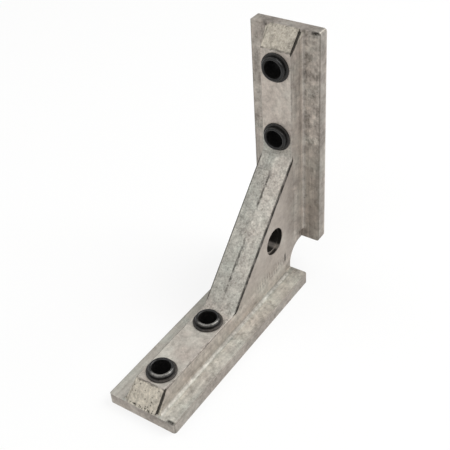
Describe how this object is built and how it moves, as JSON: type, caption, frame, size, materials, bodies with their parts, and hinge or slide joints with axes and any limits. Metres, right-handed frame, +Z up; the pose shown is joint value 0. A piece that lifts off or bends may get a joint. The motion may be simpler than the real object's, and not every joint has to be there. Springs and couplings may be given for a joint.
{
  "type": "t slot corner bracket",
  "caption": "Cast right-angle bracket for T-slotted framing: plates with raised ramped rails, a crowned brace over a windowed gusset, and flanged bushings in its screw holes.",
  "frame": {"origin": "where the planes of the two mounting faces cross, at mid width", "axes": "+X out along the base leg, +Z up along the upright leg, +Y across the width"},
  "size_m": [0.1397, 0.0382, 0.1397],
  "materials": {
    "cast_metal": "as cast, matt grey with a faint warm tone, grainy on the brace and ramps",
    "black_steel": "black oxide, satin"
  },
  "bodies": {
    "root": {"casting": "cast_metal", "base_bushing_1": "black_steel", "base_bushing_2": "black_steel", "upright_bushing_1": "black_steel", "upright_bushing_2": "black_steel"}
  },
  "joints": []
}
